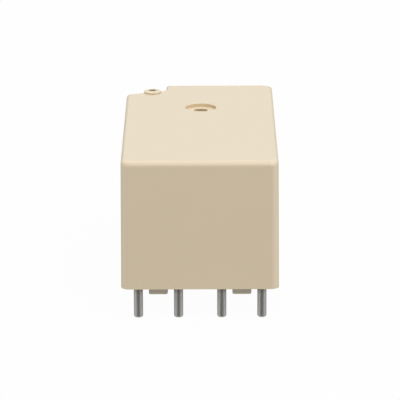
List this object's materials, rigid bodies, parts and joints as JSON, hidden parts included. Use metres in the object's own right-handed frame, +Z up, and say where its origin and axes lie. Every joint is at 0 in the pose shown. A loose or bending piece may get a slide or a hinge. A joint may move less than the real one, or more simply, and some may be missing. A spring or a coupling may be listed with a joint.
{
  "type": "pcb power relay",
  "caption": "Sealed box relay for a circuit board, with round solder pins, moulded feet and a rocking armature that changes over its contacts.",
  "frame": {"origin": "centre of the relay's outline in plan, at the level of the pin tips", "axes": "+Z up, from the pins to the top of the cover; +Y along the length, with the row of four pins at -Y; +X to the right as seen from that end"},
  "size_m": [0.0256, 0.05, 0.0273],
  "materials": {
    "ivory_plastic": "fine matt moulding",
    "grey_plastic": "matt moulding",
    "black_plastic": "matt moulding",
    "bobbin_plastic": "matt moulding",
    "epoxy": "cast resin",
    "tinned_copper": "solder coated",
    "brass_sheet": "stamped sheet",
    "spring_copper": "rolled sheet",
    "contact_silver": "polished",
    "plated_iron": "nickel plated",
    "magnet_alloy": "sintered",
    "enamelled_wire": "enamel",
    "wrap_tape": "polyester film"
  },
  "bodies": {
    "housing": {"cover": "ivory_plastic", "base": "grey_plastic", "seal_resin": "epoxy", "front_left_pin": "tinned_copper", "front_right_pin": "tinned_copper", "middle_left_pin": "tinned_copper", "middle_right_pin": "tinned_copper", "back_left_pin": "tinned_copper", "back_right_pin": "tinned_copper", "coil_left_pin": "tinned_copper", "coil_right_pin": "tinned_copper", "front_left_carrier": "brass_sheet", "front_right_carrier": "brass_sheet", "middle_left_carrier": "brass_sheet", "middle_right_carrier": "brass_sheet", "back_left_carrier": "brass_sheet", "back_right_carrier": "brass_sheet", "front_left_fixed_contact": "contact_silver", "front_right_fixed_contact": "contact_silver", "back_left_fixed_contact": "contact_silver", "back_right_fixed_contact": "contact_silver", "core": "plated_iron", "bobbin": "bobbin_plastic", "winding": "enamelled_wire", "coil_wrap": "wrap_tape", "magnet": "magnet_alloy", "coil_left_lead": "enamelled_wire", "coil_right_lead": "enamelled_wire"},
    "armature": {"armature_plate": "plated_iron", "armature_moulding": "black_plastic", "left_contact_spring": "spring_copper", "right_contact_spring": "spring_copper", "front_left_moving_contact": "contact_silver", "front_right_moving_contact": "contact_silver", "back_left_moving_contact": "contact_silver", "back_right_moving_contact": "contact_silver"}
  },
  "joints": [
    {"name": "armature_rock", "type": "hinge", "parent": "housing", "child": "armature", "pos_m": [0, 0, 0.02105], "axis": [1, 0, 0], "range_deg": [0, 4], "stiffness_Nm_per_rad": 0.05, "springref_deg": -5.73}
  ]
}
